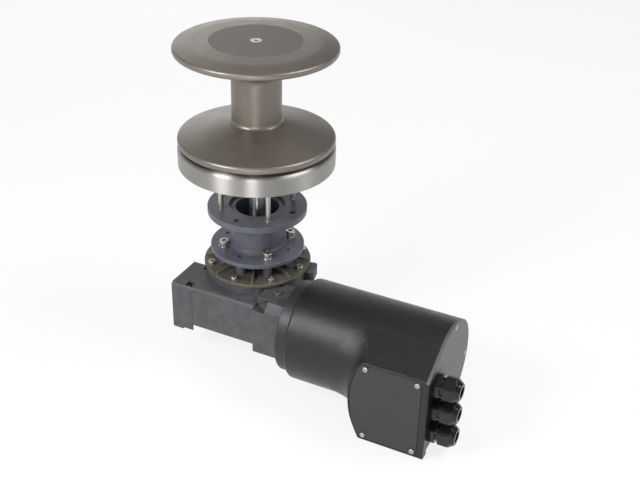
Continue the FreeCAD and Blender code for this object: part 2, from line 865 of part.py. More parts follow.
# Closed end of the worm: a cover bolted through the housing's end face
def build_worm_end():
    cap_low = -end_drop - end_cap_hang
    cap = long_block(end_cap_start, end_cap_face, end_half_w, cap_low, bar_half_h, bar_round)
    hole = rod(end_screw_r + bolt_gap, 0, end_cap_t + cut_over)
    hole = hole.fuse(rod(end_screw_head_r + bolt_gap, -cut_over, end_screw_head_h + end_screw_sink))
    for y, z in end_screw_places():
        cap = cap.cut(facing_out(hole, end_cap_start, worm_y + y, worm_z + z))
    recess = rod(worm_bearing_r - end_cap_recess, end_cap_face - end_cap_recess, end_cap_face + cut_over)
    cap = cap.cut(lying(recess))
    save("worm_end_cap", cap)
    nut_x = bar_start - end_notch_len
    seat_x = end_cap_start + end_screw_head_h + end_screw_sink
    length = nut_x + end_nut_t + end_screw_tail - seat_x
    screw = cap_screw(end_screw_r, end_screw_head_r, end_screw_head_h, length, end_screw_key)
    screw.rotate(ORIGIN, ALONG, 180)
    end_nut = nut(end_nut_across, end_screw_r, 0, end_nut_t)
    screws = [facing_out(screw, seat_x, worm_y + y, worm_z + z) for y, z in end_screw_places()]
    nuts = [facing_out(end_nut, nut_x, worm_y + y, worm_z + z) for y, z in end_screw_places()]
    save("end_cap_screws", *screws)
    save("end_cap_nuts", *nuts)
    bearing = ball_bearing(worm_bearing_r, worm_shaft_r + run_gap, worm_bearing_t)
    save("worm_bearings", *[lying(moved(bearing, 0, 0, x)) for x in (end_cap_face, worm_span)])
    seal_ends = worm_seal_start, worm_seal_start + worm_seal_t
    save("worm_seal", lying(ring(worm_bearing_r, worm_shaft_r + run_gap, *seal_ends, fine_edge)))
    plug = cap_screw(plug_thread_r, plug_head_r, plug_head_t, plug_thread_len, plug_key)
    save("oil_plug", moved(plug, plug_x, worm_y, worm_z + mouth_rise))


def tooth_half(depth):
    """Half the thickness of a tooth at a height above its pitch line."""
    return (lead / 2 - tooth_backlash) / 2 - depth * math.tan(math.radians(tooth_slope_deg))


# Worm wheel: bronze rim with slanted teeth, a thinner web and a long hub
def build_wheel():
    def tooth_line(height, turn_deg):
        pitch_deg = 360.0 / wheel_teeth
        places = []
        for tooth in range(wheel_teeth):
            middle = math.radians(turn_deg + pitch_deg * tooth - 90)
            rim = (wheel_root_r, -1), (wheel_tip_r, -1), (wheel_tip_r, 1), (wheel_root_r, 1)
            for radius, side in rim:
                turn = middle + side * tooth_half(radius - wheel_pitch_r) / radius
                places.append(point(radius * math.cos(turn), radius * math.sin(turn), height))
        return Part.makePolygon(places + places[:1])

    slant_deg = math.degrees(lead / (2 * math.pi * worm_pitch_r) * wheel_t / wheel_pitch_r) / 2
    low = tooth_line(worm_z - wheel_t / 2, -slant_deg)
    high = tooth_line(worm_z + wheel_t / 2, slant_deg)
    wheel = Part.makeLoft([low, high], True, True)
    rim_r = wheel_root_r - wheel_rim
    for side in (-1, 1):
        faces = sorted((worm_z + side * wheel_web_t / 2, worm_z + side * (wheel_t / 2 + cut_over)))
        wheel = wheel.cut(ring(rim_r, wheel_hub_r, *faces))
    hub = rod(wheel_hub_r, lower_bearing_top + end_gap, upper_bearing_low - end_gap)
    wheel = wheel.fuse(hub).cut(rod(shaft_r + fit_gap, housing_bottom, cover_bottom))
    half = wheel_key_len / 2
    wheel = wheel.cut(key_bar(worm_z - half, worm_z + half, fit_gap))
    save("worm_wheel", wheel)


# Worm: a single-start thread on its shaft, with a gap of the thread facing a tooth of the wheel
def build_worm():
    thread_len = lead * worm_turns
    start = -thread_len / 2
    bottom = worm_root_r - thread_sink
    path = Part.makeHelix(lead, thread_len, worm_pitch_r)
    corners = []
    for radius, side in ((bottom, -1), (worm_tip_r, -1), (worm_tip_r, 1), (bottom, 1)):
        corners.append(point(radius, 0, side * tooth_half(radius - worm_pitch_r)))
    profile = Part.makePolygon(corners + corners[:1])
    thread = Part.Wire(path.Edges).makePipeShell([profile], True, True)
    thread.translate(point(0, 0, start))
    thread.rotate(ORIGIN, UP, 90)
    end_x = coupling_start + coupling_len / 2
    shaft = turned([
        (0, end_cap_face + end_gap),
        (worm_shaft_r, end_cap_face + end_gap, fine_edge),
        (worm_shaft_r, -worm_span),
        (worm_root_r, -worm_span),
        (worm_root_r, worm_span),
        (worm_shaft_r, worm_span),
        (worm_shaft_r, coupling_start - end_gap),
        (motor_shaft_r, coupling_start - end_gap),
        (motor_shaft_r, end_x - end_gap),
        (0, end_x - end_gap),
    ])
    save("worm_shaft", lying(shaft.fuse(thread)))
    ends = coupling_start, coupling_start + coupling_len
    coupling = ring(coupling_r, motor_shaft_r + fit_gap, *ends, edge_break)
    save("coupling", lying(coupling))


# Motor: front flange, steel can with magnets, brushes at the rear, and the armature on its shaft
def build_motor():
    bearing_x = flange_end - motor_bearing_t
    flange = turned([
        (coupling_r + coupling_room, mouth_end),
        (motor_flange_r, mouth_end, edge_break),
        (motor_flange_r, flange_end, edge_break),
        (motor_bearing_r + fit_gap, flange_end),
        (motor_bearing_r + fit_gap, bearing_x),
        (motor_shaft_r + shaft_room, bearing_x),
        (motor_shaft_r + shaft_room, bearing_x - motor_shoulder_t),
        (coupling_r + coupling_room, bearing_x - motor_shoulder_t),
    ])
    flange = lying(flange)
    stud_end = mouth_end + motor_stud_grip
    tapped = rod(motor_stud_r + fit_gap, -cut_over, motor_stud_grip + end_gap)
    for y, z in motor_stud_places():
        flange = flange.cut(facing_out(tapped, mouth_end, worm_y + y, worm_z + z))
    save("motor_flange", flange)
    nut_low = mouth_plate_start - motor_nut_t
    stud = rod(motor_stud_r, nut_low - motor_stud_tail, stud_end)
    motor_nut = nut(motor_nut_across, motor_stud_r, nut_low, mouth_plate_start)
    save("motor_studs", *[facing_out(stud, 0, worm_y + y, worm_z + z) for y, z in motor_stud_places()])
    save("motor_nuts", *[facing_out(motor_nut, 0, worm_y + y, worm_z + z) for y, z in motor_stud_places()])
    bearing = ball_bearing(motor_bearing_r, motor_shaft_r + run_gap, motor_bearing_t)
    save("motor_bearings", *[lying(moved(bearing, 0, 0, x)) for x in (bearing_x, rear_bearing_x)])
    save("motor_can", lying(ring(can_r, can_bore_r, flange_end, can_end)))
    bell = turned([
        (motor_bearing_r + fit_gap, rear_bearing_x),
        (motor_bearing_r + bell_boss_wall, rear_bearing_x),
        (motor_bearing_r + bell_boss_wall, can_end - bell_t),
        (can_bore_r - fit_gap, can_end - bell_t),
        (can_bore_r - fit_gap, can_end),
        (can_r, can_end),
        (can_r, can_end + bell_t, edge_break),
        (0, can_end + bell_t),
        (0, can_end - bell_t),
        (motor_bearing_r + fit_gap, can_end - bell_t),
    ])
    save("motor_end_bell", lying(bell))
    arc = ring(can_bore_r - fit_gap, magnet_r, core_start, core_end)
    half = math.radians(magnet_arc_deg / 2)
    edge = 2 * can_r
    corners = [
        point(0, 0, core_start),
        point(edge * math.cos(half), -edge * math.sin(half), core_start),
        point(edge * math.cos(half), edge * math.sin(half), core_start),
    ]
    wedge = Part.Face(Part.makePolygon(corners + corners[:1])).extrude(UP * core_len)
    magnet = arc.common(wedge)
    save("magnets", *[lying(copy) for copy in around(magnet, magnet_count, magnet_start_deg)])
    shaft_start = coupling_start + coupling_len / 2 + end_gap
    shaft = ring(motor_shaft_r, 0, shaft_start, can_end - bell_t - end_gap)
    save("armature_shaft", lying(shaft))
    bore_r = motor_shaft_r + fit_gap
    core = ring(core_r, bore_r, core_start, core_end)
    slot_low = core_r - core_slot_depth, -core_slot_w / 2, core_start - cut_over
    slot_high = core_r + cut_over, core_slot_w / 2, core_end + cut_over
    for slot in around(box(slot_low, slot_high), core_slot_count):
        core = core.cut(slot)
    save("armature_core", lying(core))
    ends = []
    for low in (core_start - winding_len, core_end):
        ends.append(lying(ring(winding_r, bore_r + winding_wall_gap, low, low + winding_len, winding_round)))
    save("armature_windings", *ends)
    commutator = ring(commutator_r, bore_r, commutator_start, commutator_start + commutator_len, fine_edge)
    save("commutator", lying(commutator))
    holder_low = commutator_start + (commutator_len - brush_ring_t) / 2
    holder = ring(can_bore_r - fit_gap, can_bore_r - brush_ring_wall, holder_low, holder_low + brush_ring_t)
    brush_start = commutator_r + end_gap
    brush_mid = holder_low + brush_ring_t / 2
    inner = can_bore_r - brush_ring_wall
    box_r = brush_start + brush_len
    arm_low = box_r - brush_box_len, -brush_w, holder_low
    arm_high = inner + cut_over, brush_w, holder_low + brush_ring_t
    arms = around(box(arm_low, arm_high), magnet_count)
    for arm in arms:
        holder = holder.fuse(arm)
    reach = box_r + fit_gap
    half = brush_w / 2
    wide = half + fit_gap
    room = box((0, -wide, brush_mid - wide), (reach, wide, brush_mid + wide))
    for slot in around(room, magnet_count):
        holder = holder.cut(slot)
    save("brush_holder", lying(holder.removeSplitter()))
    brush = box((brush_start, -half, brush_mid - half), (box_r, half, brush_mid + half))
    brush = brush.cut(rod(brush_start, brush_mid - brush_w, brush_mid + brush_w))
    save("brushes", *[lying(copy) for copy in around(brush, magnet_count)])


def floor_turn(radius, inset):
    """Angle below the motor's axis at which the pocket's floor runs into a round of the given radius."""
    reach = worm_y - gland_wall_y
    drop = pocket_floor - inset
    return math.atan2(drop, reach) + math.acos(radius / math.hypot(drop, reach))


def pocket_prism(inset, front, lip):
    """The terminal pocket's section run along the motor, drawn in by an inset, with a lip below its front."""
    radius = shell_r - inset - blend_sink
    bottom = floor_turn(radius, inset)
    high = (radius - (worm_y - front) * math.cos(pocket_lean)) / math.sin(pocket_lean)
    low = worm_z - pocket_floor + inset
    corners = [
        point(0, worm_y - radius * math.cos(pocket_lean), worm_z + radius * math.sin(pocket_lean)),
        point(0, front, worm_z + high),
    ]
    if lip > 0:
        corners += [point(0, front, pocket_bottom), point(0, front + lip, pocket_bottom)]
    corners += [
        point(0, front + lip, low),
        point(0, gland_wall_y, low),
        point(0, worm_y - radius * math.cos(bottom), worm_z - radius * math.sin(bottom)),
        point(0, worm_y, worm_z),
    ]
    return Part.Face(Part.makePolygon(corners + corners[:1])).extrude(ALONG * shell_end)


def pocket_side(height, inset):
    """Place along the motor of the pocket's bowed side wall."""
    bow_r = pocket_arc_r - inset
    return pocket_arc_x - math.sqrt(bow_r ** 2 - (height - pocket_axis_z) ** 2)


def flared_pocket():
    """The pocket's outer form: its side wall sweeps out along the shell until it lies flush with it."""
    top = pocket_lean
    bottom = -floor_turn(shell_r, 0)
    corner_r = math.hypot(pocket_drop, pocket_reach)
    spread = math.radians(blend_overlap_deg)
    sunk_r = shell_r - blend_sink
    sections = []
    for index in range(pocket_sections + 1):
        turn = top + spread + (bottom - top - 2 * spread) * index / pocket_sections
        limits = [shell_r / math.cos(turn - top) if turn - top > -1.4 else corner_r]
        limits.append(pocket_reach / math.cos(turn) if abs(turn) < 1.4 else corner_r)
        limits.append(shell_r / math.cos(turn - bottom) if turn - bottom < 1.4 else corner_r)
        outer = min(limits) + pocket_flare_depth
        side = []
        for step in range(flare_steps + 1):
            radius = sunk_r + (outer - sunk_r) * step / flare_steps
            rise = min(1, (radius - sunk_r) / pocket_flare_depth)
            flare = pocket_flare * (1 - math.sqrt(1 - (1 - rise) ** 2))
            x = pocket_side(worm_z + radius * math.sin(turn), 0) - flare
            side.append(point(x, worm_y - radius * math.cos(turn), worm_z + radius * math.sin(turn)))
        curve = Part.BSplineCurve()
        curve.interpolate(side)
        low = worm_y - shell_bore_r * math.cos(turn), worm_z + shell_bore_r * math.sin(turn)
        places = [
            side[-1],
            point(shell_end, side[-1].y, side[-1].z),
            point(shell_end, *low),
            point(side[0].x, *low),
            side[0],
        ]
        edges = [curve.toShape()]
        edges += [Part.LineSegment(first, last).toShape() for first, last in zip(places, places[1:])]
        sections.append(Part.Wire(edges))
    pocket = Part.makeLoft(sections, True).common(pocket_prism(0, pocket_front, pocket_lip_t))
    bowed = [edge for edge in pocket.Edges if edge.BoundBox.XMax < shell_end - cut_over]
    bowed = [edge for edge in bowed if edge.BoundBox.YMin < pocket_front + fine_edge]
    shoulder = [edge for edge in bowed if edge.CenterOfMass.z > worm_z]
    pocket = pocket.makeFillet(pocket_shoulder, shoulder)
    front = [edge for edge in pocket.Edges if edge.BoundBox.YMax < pocket_front + fine_edge]
    front = [edge for edge in front if edge.BoundBox.XMax < shell_end - cut_over]
    return pocket.makeFillet(pocket_edge, front)


def lid_block(inset, front, back):
    """The lid's outline as a block along Y: straight on three sides, bowed on the motor's side."""
    top_y = worm_y - shell_r * math.cos(pocket_lean)
    top_z = worm_z + shell_r * math.sin(pocket_lean)
    high = top_z - (top_y - pocket_front) / math.tan(pocket_lean) - lid_rim - inset
    low = pocket_bottom + lid_rim + inset
    end = shell_end - lid_end_rim - inset
    centre = point(pocket_arc_x, front, pocket_axis_z)
    bowl = Part.makeCylinder(pocket_arc_r - lid_rim - inset, back - front, centre, ACROSS)
    block = bowl.common(box((0, front, low), (end, back, high)))
    upright = [edge for edge in block.Edges if edge.BoundBox.YLength > (back - front) / 2]
    corners = [edge for edge in upright if edge.CenterOfMass.x < end - fine_edge]
    return block.makeFillet(max(lid_corner - inset, edge_break), corners)


def lid_screw_places():
    """The lid's four screws as (x, z)."""
    block = lid_block(lid_screw_inset, pocket_front, pocket_front + lid_t).BoundBox
    places = []
    for z in (block.ZMin, block.ZMax):
        offset = math.sqrt((pocket_arc_r - lid_rim - lid_screw_inset) ** 2 - (z - pocket_axis_z) ** 2)
        places.append((pocket_arc_x - offset + lid_corner / 3, z))
        places.append((block.XMax, z))
    return places


def gland_places():
    heights = [worm_z + gland_rise - gland_pitch * index for index in range(gland_count)]
    return [(pocket_front + gland_inset, height) for height in heights]


def cover_form():
    """The motor cover's outer form, still solid."""
    shell = turned([
        (0, flange_end),
        (shell_r, flange_end, shell_round),
        (shell_r, shell_end),
        (0, shell_end),
    ])
    return lying(shell).fuse(flared_pocket())


def gland_wall(room):
    """The wall that carries the glands, with room round it for the end plate's notch."""
    top = lid_block(0, pocket_front, pocket_front + lid_t).BoundBox.ZMax
    low = gland_wall_start, pocket_front - room, pocket_bottom - room
    return box(low, (shell_end + cut_over, gland_wall_y + room, top + room))


def end_slab():
    """Everything past the face that the end plate sits on."""
    reach = pocket_reach + shell_r
    low = end_plate_start, worm_y - reach, worm_z - reach
    return box(low, (shell_end + cut_over, worm_y + reach, worm_z + reach))


# Motor cover: a drawn shell with a flared pocket for the terminals, open at its far end
def build_cover():
    whole = cover_form()
    ledge_r = shell_bore_r - shell_ledge
    ledge_end = end_plate_start - shell_ledge_len
    bore = turned([
        (0, flange_end - cut_over),
        (can_r + bolt_gap, flange_end - cut_over),
        (can_r + bolt_gap, flange_end + shell_wall),
        (shell_bore_r, flange_end + shell_wall),
        (shell_bore_r, ledge_end - shell_ledge),
        (ledge_r, ledge_end),
        (ledge_r, shell_end + cut_over),
        (0, shell_end + cut_over),
    ])
    lid_seat = pocket_front + lid_t + gasket_t
    centre = point(pocket_arc_x, pocket_front, pocket_axis_z)
    bow = Part.makeCylinder(pocket_arc_r - pocket_wall, pocket_reach, centre, ACROSS)
    room = pocket_prism(pocket_wall, lid_seat + lid_ledge_t, 0).common(bow)
    wall = gland_wall(0)
    solid = whole.cut(lying(bore).fuse(room).cut(wall))
    solid = solid.cut(end_slab().cut(wall))
    solid = solid.cut(lid_block(-lid_gap, pocket_front - cut_over, lid_seat))
    solid = solid.cut(lid_block(lid_ledge, pocket_front, lid_seat + lid_ledge_t + cut_over))
    for x, z in lid_screw_places():
        boss = Part.makeCylinder(lid_boss_r, lid_screw_len - lid_t, point(x, lid_seat, z), ACROSS)
        solid = solid.fuse(boss.common(whole))
    for x, z in lid_screw_places():
        hole = Part.makeCylinder(lid_screw_r + fit_gap, lid_screw_len, point(x, pocket_front, z), ACROSS)
        solid = solid.cut(hole)
    gland_hole = rod(gland_thread_r + bolt_gap, -cut_over, gland_wall_t + cut_over)
    for y, z in gland_places():
        solid = solid.cut(facing_out(gland_hole, gland_wall_start, y, z))
    tapped = rod(plate_screw_r + fit_gap, -plate_screw_len - end_gap, cut_over)
    for x, y, z in end_screw_holes():
        solid = solid.cut(facing_out(tapped, x, y, z))
    save("motor_cover", solid.removeSplitter())


def end_screw_holes():
    """The end plate's screws, as the places of their flat tops."""
    places = []
    for index in range(end_screw_count):
        turn = math.radians(end_screw_start_deg + 360.0 * index / end_screw_count)
        y = worm_y + end_screw_circle_r * math.sin(turn)
        z = worm_z + end_screw_circle_r * math.cos(turn)
        if y > gland_wall_y or z > worm_z + shell_r / 2:
            places.append((shell_end, y, z))
    return places


# End plate of the motor cover: it closes the whole end beside the glands' wall
def build_end_plate():
    plate = cover_form().common(end_slab()).cut(gland_wall(bolt_gap))
    screw = sunk_screw(plate_screw_r, plate_screw_head_r, plate_screw_head_t, plate_screw_len, plate_screw_r)
    hole = turned([
        (0, cut_over),
        (plate_screw_head_r + bolt_gap, cut_over),
        (plate_screw_head_r + bolt_gap, 0),
        (plate_screw_r + bolt_gap, -plate_screw_head_t),
        (plate_screw_r + bolt_gap, -end_plate_t - cut_over),
        (0, -end_plate_t - cut_over),
    ])
    for x, y, z in end_screw_holes():
        plate = plate.cut(facing_out(hole, x, y, z))
    save("end_plate", plate)
    save("end_plate_screws", *[facing_out(screw, x, y, z) for x, y, z in end_screw_holes()])


# Lid of the terminal pocket, its gasket and screws, and the terminal board behind it
def build_terminals():
    lid = lid_block(0, pocket_front, pocket_front + lid_t)
    gasket = lid_block(0, pocket_front + lid_t, pocket_front + lid_t + gasket_t)
    gasket = gasket.cut(lid_block(lid_ledge, pocket_front, pocket_front + lid_t + gasket_t + cut_over))
    whole = lid_block(0, pocket_front + lid_t, pocket_front + lid_t + gasket_t)
    for x, z in lid_screw_places():
        start = point(x, pocket_front - cut_over, z)
        hole = Part.makeCylinder(lid_screw_r + bolt_gap, lid_t + gasket_t + 2 * cut_over, start, ACROSS)
        boss = Part.makeCylinder(lid_boss_r, gasket_t, point(x, pocket_front + lid_t, z), ACROSS)
        lid = lid.cut(hole)
        gasket = gasket.fuse(boss.common(whole)).cut(hole)
    save("terminal_lid", lid)
    save("lid_gasket", gasket.removeSplitter())
    head = turned([
        (0, -lid_screw_len),
        (lid_screw_r, -lid_screw_len),
        (lid_screw_r, 0),
        (lid_screw_head_r, 0),
        (lid_screw_head_r, lid_screw_head_t, lid_screw_head_round),
        (0, lid_screw_head_t),
    ])
    slot_low = -lid_screw_head_r, -lid_screw_slot / 2, lid_screw_head_t / 2
    slot_high = lid_screw_head_r, lid_screw_slot / 2, lid_screw_head_t + cut_over
    screw = head.cut(box(slot_low, slot_high))
    screw.rotate(ORIGIN, ALONG, 90)
    save("lid_screws", *[moved(screw, x, pocket_front, z) for x, z in lid_screw_places()])
    back_y = worm_y - can_r
    low_z = pocket_axis_z - board_h / 2
    board_start = pocket_side(low_z, pocket_wall) + board_gap
    board_end = board_start + board_len, worm_y - can_r / 2, low_z + board_h
    board = box((board_start, back_y - board_t, low_z), board_end)
    board = board.cut(lying(rod(can_r + fit_gap, flange_end, shell_end)))
    save("terminal_board", board)
    terminals = []
    for index in range(terminal_count):
        z = pocket_axis_z + terminal_pitch * (index - (terminal_count - 1) / 2)
        stud = rod(terminal_r, 0, terminal_h).fuse(hexagon(terminal_nut_across, 0, terminal_nut_t))
        stud.rotate(ORIGIN, ALONG, 90)
        terminals.append(moved(stud.removeSplitter(), board_start + board_len / 2, back_y - board_t, z))
    save("terminal_studs", *terminals)


# Cable glands: threaded body, dome nut, rubber seal and the locknut inside the wall
def build_glands():
    nut_low = gland_collar_t + gland_neck_len
    nut_high = nut_low + gland_nut_len
    tip = nut_high + gland_dome_len
    inside = -gland_wall_t - gland_locknut_t - gland_tail
    body = hexagon(gland_across, 0, gland_collar_t)
    body = body.common(ring(gland_turned_r, 0, 0, gland_collar_t, edge_break))
    body = body.fuse(rod(gland_thread_r, inside, 0)).fuse(rod(gland_neck_r, 0, nut_high))
    body = body.cut(rod(gland_bore_r, inside - cut_over, tip))
    flats = hexagon(gland_across, nut_low, tip)
    dome = turned([
        (gland_neck_r + fit_gap, nut_low),
        (gland_turned_r, nut_low, edge_break),
        (gland_turned_r, nut_high, gland_dome_step),
        (gland_turned_r - gland_dome_step, nut_high + gland_dome_len * gland_dome_share, gland_dome_round),
        (gland_mouth_r, tip, edge_break),
        (gland_cable_r + gland_cable_gap, tip),
        (gland_cable_r + gland_cable_gap, nut_high + end_gap),
        (gland_neck_r + fit_gap, nut_high + end_gap),
    ])
    dome = dome.common(flats)
    seal = ring(gland_bore_r - fit_gap, gland_cable_r, nut_high - gland_seal_len, nut_high)
    locknut = nut(gland_locknut_across, gland_thread_r, -gland_wall_t - gland_locknut_t, -gland_wall_t)
    locknut.rotate(ORIGIN, UP, 30)
    pieces = {"gland_bodies": body, "gland_nuts": dome, "gland_seals": seal, "gland_locknuts": locknut}
    for name, shape in pieces.items():
        save(name, *[facing_out(shape, shell_end, y, z) for y, z in gland_places()])


def main():
    os.makedirs("parts", exist_ok=True)
    build_drum()
    build_main_shaft()
    build_base()
    build_studs()
    build_spacer()
    build_gear_cover()
    build_housing()
    build_worm_end()
    build_wheel()
    build_worm()
    build_motor()
    build_cover()
    build_end_plate()
    build_terminals()
    build_glands()


main()
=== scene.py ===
import json
import math
import bpy
from mathutils import Matrix, Vector


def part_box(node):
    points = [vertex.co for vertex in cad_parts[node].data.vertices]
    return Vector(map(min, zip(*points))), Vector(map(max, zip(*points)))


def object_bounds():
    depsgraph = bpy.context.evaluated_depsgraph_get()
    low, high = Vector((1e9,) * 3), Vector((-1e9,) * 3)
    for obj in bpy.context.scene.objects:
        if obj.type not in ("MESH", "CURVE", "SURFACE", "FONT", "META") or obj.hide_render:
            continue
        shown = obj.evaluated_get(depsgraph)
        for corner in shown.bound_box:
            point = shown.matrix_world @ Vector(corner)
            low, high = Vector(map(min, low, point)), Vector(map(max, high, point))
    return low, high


# Camera of the photograph, in metres, degrees and pixels of a 640 by 480 picture
photo_width_px = 640
focal_px = 1039.8
sensor_mm = 36.0
camera_place = Vector((0.6134, -1.0922, 0.6161))
camera_azimuth_deg = 25.337
camera_tilt_deg = 30.495
camera_roll_deg = 1.588

# Floor with low walls at its far edge, in metres
floor_half = 12.0
wall_height = 3.2
floor_gap = 0.0004
floor_colour = (0.86, 0.86, 0.86)
floor_roughness = 0.8
floor_glow = 0.82

# Room light: strength on the dark and the bright side, and the cosines where each is reached
room_dark = 0.17
room_bright = 0.44
room_bright_side = (-0.35, -0.75, 0.56)
room_dark_cosine = -0.6
room_bright_cosine = 1

# Round lamps: name, place and width in metres, and power in watts
lamp_aim = (0.08, -0.03, -0.08)
lamps = (
    ("overhead", (1.3, 0.35, 1.6), 1.2, 26),
    ("rim", (-1.15, 1.35, 0.55), 1.3, 4.5),
    ("key", (-0.48, -1.2, 0.86), 0.5, 18),
    ("front", (1.08, -2.6, 0.15), 0.8, 21),
)

# Levels of a texture between which it changes a roughness or a colour
roughness_band = (0.3, 0.7)
colour_band = (0.35, 0.65)

# Lathe marks, soft edges and edges with a painted highlight
turned_detail = 2.0
turned_breakup = 0.5
across_grooves = 0.25
edge_samples = 6
edge_highlight_full_cosine = 0.82
edge_highlight_none_cosine = 0.98
edge_highlight_share = 0.9

# Finishes without texture: colour, metallic and roughness
plain_finishes = {
    "bearing_steel": ((0.6, 0.6, 0.62), 1.0, 0.15),
    "bronze": ((0.50, 0.32, 0.13), 1.0, 0.32),
    "plug_metal": ((0.2, 0.2, 0.2), 0.8, 0.45),
    "rubber": ((0.015, 0.015, 0.015), 0.0, 0.75),
    "can_steel": ((0.04, 0.04, 0.045), 0.3, 0.5),
    "magnet": ((0.07, 0.07, 0.075), 0.2, 0.6),
    "core_steel": ((0.2, 0.2, 0.21), 0.9, 0.45),
    "copper": ((0.5, 0.2, 0.09), 1.0, 0.35),
    "carbon": ((0.03, 0.03, 0.03), 0.0, 0.6),
    "board_plastic": ((0.12, 0.07, 0.03), 0.0, 0.45),
    "terminal_brass": ((0.55, 0.4, 0.16), 1.0, 0.25),
}

# Steel fasteners in the deep pockets, given a dull black finish as painted shade of the pockets
pocket_shade_fasteners = ("motor_studs", "motor_nuts")

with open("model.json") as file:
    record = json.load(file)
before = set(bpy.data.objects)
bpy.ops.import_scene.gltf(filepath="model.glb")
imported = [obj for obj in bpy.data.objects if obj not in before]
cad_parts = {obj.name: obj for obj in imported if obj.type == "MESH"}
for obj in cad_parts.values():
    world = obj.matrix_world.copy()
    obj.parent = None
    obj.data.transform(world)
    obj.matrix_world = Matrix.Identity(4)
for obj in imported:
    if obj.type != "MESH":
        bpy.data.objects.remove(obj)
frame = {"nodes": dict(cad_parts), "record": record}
cad_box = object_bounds()

# Axes of the turned pieces
upright_axis = 2
motor_axis = 0
drum_centre = (0, 0, 0)
can_low, can_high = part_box("motor_can")
motor_centre = (0, (can_low[1] + can_high[1]) / 2, (can_low[2] + can_high[2]) / 2)


def main_shader(material):
    return material.node_tree.nodes["Principled BSDF"]


def socket(material, name, value):
    """Set one constant input of a material's main shader."""
    main_shader(material).inputs[name].default_value = value


def plain(name, colour, metallic, roughness):
    """A material with constant colour, metal and roughness."""
    material = bpy.data.materials.new(name)
    material.use_nodes = True
    socket(material, "Base Color", (*colour, 1))
    socket(material, "Metallic", metallic)
    socket(material, "Roughness", roughness)
    return material


def add(material, kind, **values):
    """Add a node and set its inputs by name."""
    node = material.node_tree.nodes.new("ShaderNode" + kind)
    for name, value in values.items():
        node.inputs[name].default_value = value
    return node


def add_operation(material, kind, operation):
    node = add(material, kind)
    node.operation = operation
    return node


def join(material, source, output, target, target_input):
    material.node_tree.links.new(source.outputs[output], target.inputs[target_input])


def set_range(node, start, end, low, high):
    """Let a range node carry start to low and end to high."""
    for name, value in (("From Min", start), ("From Max", end), ("To Min", low), ("To Max", high)):
        node.inputs[name].default_value = value


def noise(material, scale, detail=3.0, breakup=0.6):
    """Noise that stays with the piece when it moves, as a node and its output."""
    place = add(material, "TexCoord")
    texture = add(material, "TexNoise", Scale=scale, Detail=detail, Roughness=breakup)
    join(material, place, "Object", texture, "Vector")
    return texture, "Fac"


def turned_noise(material, lines_per_m, axis, centre):
    """Noise that varies with the distance from an axis and along it, as a lathe tool leaves it."""
    place = add(material, "TexCoord")
    offset = add_operation(material, "VectorMath", "SUBTRACT")
    offset.inputs[1].default_value = centre
    join(material, place, "Object", offset, 0)
    flat = add_operation(material, "VectorMath", "MULTIPLY")
    flat.inputs[1].default_value = [0 if index == axis else 1 for index in range(3)]
    join(material, offset, "Vector", flat, 0)
    length = add_operation(material, "VectorMath", "LENGTH")
    join(material, flat, "Vector", length, 0)
    split = add(material, "SeparateXYZ")
    join(material, offset, "Vector", split, "Vector")
    rejoin = add(material, "CombineXYZ")
    join(material, length, "Value", rejoin, "X")
    join(material, split, "XYZ"[axis], rejoin, "Y")
    texture = add(material, "TexNoise", Scale=lines_per_m, Detail=turned_detail, Roughness=turned_breakup)
    join(material, rejoin, "Vector", texture, "Vector")
    return texture, "Fac"


def dress_normal(material, edge, bumps=()):
    """Soft edges of a given radius, then bumps on top, each a texture and its depth in metres."""
    last = add(material, "Bevel", Radius=edge)
    last.samples = edge_samples
    for texture, depth in bumps:
        bump = add(material, "Bump", Strength=1.0, Distance=depth)
        join(material, *texture, bump, "Height")
        join(material, last, "Normal", bump, "Normal")
        last = bump
    join(material, last, "Normal", main_shader(material), "Normal")


def vary_roughness(material, texture, low, high):
    mapped = add(material, "MapRange")
    set_range(mapped, *roughness_band, low, high)
    join(material, *texture, mapped, "Value")
    join(material, mapped, "Result", main_shader(material), "Roughness")


def shade(colour, factor):
    return tuple(channel * factor for channel in colour)


def tint(material, texture, colour, dark, light):
    """Let a texture carry the base colour between a darker and a lighter tone of one colour."""
    ramp = add(material, "ValToRGB")
    for element, position, factor in zip(ramp.color_ramp.elements, colour_band, (dark, light)):
        element.position = position
        element.color = (*shade(colour, factor), 1)
    join(material, *texture, ramp, "Fac")
    join(material, ramp, "Color", main_shader(material), "Base Color")


def paint_edge_highlights(material, colour, width):
    """Paint a highlight along the edges: a lighter tone where a softened normal leaves the surface's own.
    """
    soft = add(material, "Bevel", Radius=width)
    own = add(material, "NewGeometry")
    facing = add_operation(material, "VectorMath", "DOT_PRODUCT")
    join(material, soft, "Normal", facing, 0)
    join(material, own, "Normal", facing, 1)
    edge_highlight_mask = add(material, "MapRange")
    set_range(edge_highlight_mask, edge_highlight_full_cosine, edge_highlight_none_cosine, edge_highlight_share, 0)
    join(material, facing, "Value", edge_highlight_mask, "Value")
    mix = add(material, "MixRGB", Color2=(*colour, 1))
    base = main_shader(material).inputs["Base Color"]
    material.node_tree.links.new(base.links[0].from_socket, mix.inputs["Color1"])
    join(material, edge_highlight_mask, "Result", mix, "Fac")
    material.node_tree.links.new(mix.outputs["Color"], base)


def stretch_highlights(material, amount):
    """Stretch highlights across the grooves that turning about the upright axis leaves."""
    around = add(material, "Tangent")
    around.direction_type = "RADIAL"
    around.axis = "XYZ"[upright_axis]
    join(material, around, "Tangent", main_shader(material), "Tangent")
    socket(material, "Anisotropic", amount)
    socket(material, "Anisotropic Rotation", across_grooves)


